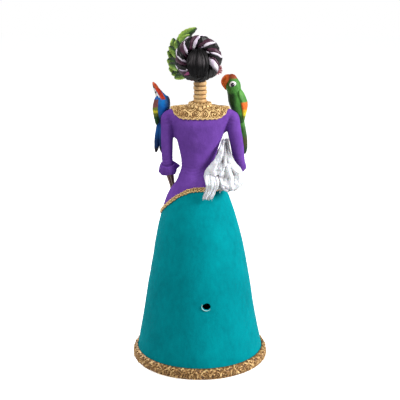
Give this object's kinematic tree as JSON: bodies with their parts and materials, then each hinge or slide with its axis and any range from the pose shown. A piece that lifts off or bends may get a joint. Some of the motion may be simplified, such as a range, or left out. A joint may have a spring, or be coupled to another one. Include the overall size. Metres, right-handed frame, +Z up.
{
  "type": "papier-mache catrina figure",
  "caption": "Standing papier-mache skeleton lady in a long dress, with flowers in the hair, a bird on each shoulder and a gauze shawl.",
  "frame": {"origin": "middle of the foot, in the plane that the figure stands on", "axes": "+Z up, the face looks along -Y, the figure's left arm is at +X"},
  "size_m": [0.1624, 0.1624, 0.393],
  "materials": {
    "teal_paint": "matte acrylic paint on papier-mache",
    "purple_paint": "matte acrylic paint on papier-mache",
    "gold_paint": "relief lace of paper, painted gold with a dull gleam",
    "bone_paint": "satin paint, aged bone colour",
    "skull_paint": "satin paint with fine painted ornament",
    "hair_paint": "satin black, combed strands",
    "ribbon_paint": "satin paint, striped black, plum and white",
    "leaf_paint": "satin paint",
    "pink_paint": "satin paint",
    "red_paint": "satin paint",
    "orange_paint": "satin paint",
    "blue_paint": "satin paint, carved feathers",
    "green_paint": "satin paint, carved feathers",
    "beak_paint": "satin paint",
    "cardboard": "plain",
    "wood": "raw",
    "steel_wire": "bare wire",
    "wadded_newspaper": "loosely wadded",
    "white_gauze": "thin open weave, gathered"
  },
  "bodies": {
    "figure": {"base_disc": "cardboard", "rod_block": "wood", "waist_disc": "cardboard", "spine_rod": "wood", "arm_wire": "steel_wire", "torso_core": "wadded_newspaper", "skirt_shell": "teal_paint", "hem_trim": "gold_paint", "bodice_shell": "purple_paint", "waist_trim": "gold_paint", "lace_yoke": "gold_paint", "neck_frill": "gold_paint", "left_sleeve": "purple_paint", "right_sleeve": "purple_paint", "left_cuff": "purple_paint", "right_cuff": "purple_paint", "left_forearm": "bone_paint", "right_forearm": "bone_paint", "left_hand": "bone_paint", "right_hand": "bone_paint", "skull": "skull_paint", "jaw": "skull_paint", "hair_cap": "hair_paint", "hair_bun": "hair_paint", "ribbon_braid": "ribbon_paint", "leaf_top": "leaf_paint", "leaf_high": "leaf_paint", "leaf_side": "leaf_paint", "leaf_low": "leaf_paint", "leaf_nape": "leaf_paint", "leaf_foot": "leaf_paint", "rose_crown": "red_paint", "rose_left": "pink_paint", "rose_right": "orange_paint", "rose_temple": "orange_paint", "rose_cheek": "red_paint", "rose_ear": "pink_paint", "macaw_body": "blue_paint", "macaw_beak": "beak_paint", "macaw_wing_outer": "blue_paint", "macaw_wing_inner": "blue_paint", "macaw_tail": "blue_paint", "parrot_body": "green_paint", "parrot_beak": "beak_paint", "parrot_wing_outer": "green_paint", "parrot_wing_inner": "green_paint", "parrot_tail": "green_paint", "shawl_front": "white_gauze", "vertebra_1": "bone_paint", "vertebra_2": "bone_paint", "vertebra_3": "bone_paint", "vertebra_4": "bone_paint", "vertebra_5": "bone_paint", "vertebra_6": "bone_paint", "vertebra_7": "bone_paint"},
    "shawl": {"shawl_back": "white_gauze", "shawl_tail": "white_gauze"}
  },
  "joints": [
    {"name": "shawl_swing", "type": "hinge", "parent": "figure", "child": "shawl", "pos_m": [-0.029, 0.0026, 0.264], "axis": [1, 0, 0], "range_deg": [0, 20]}
  ]
}
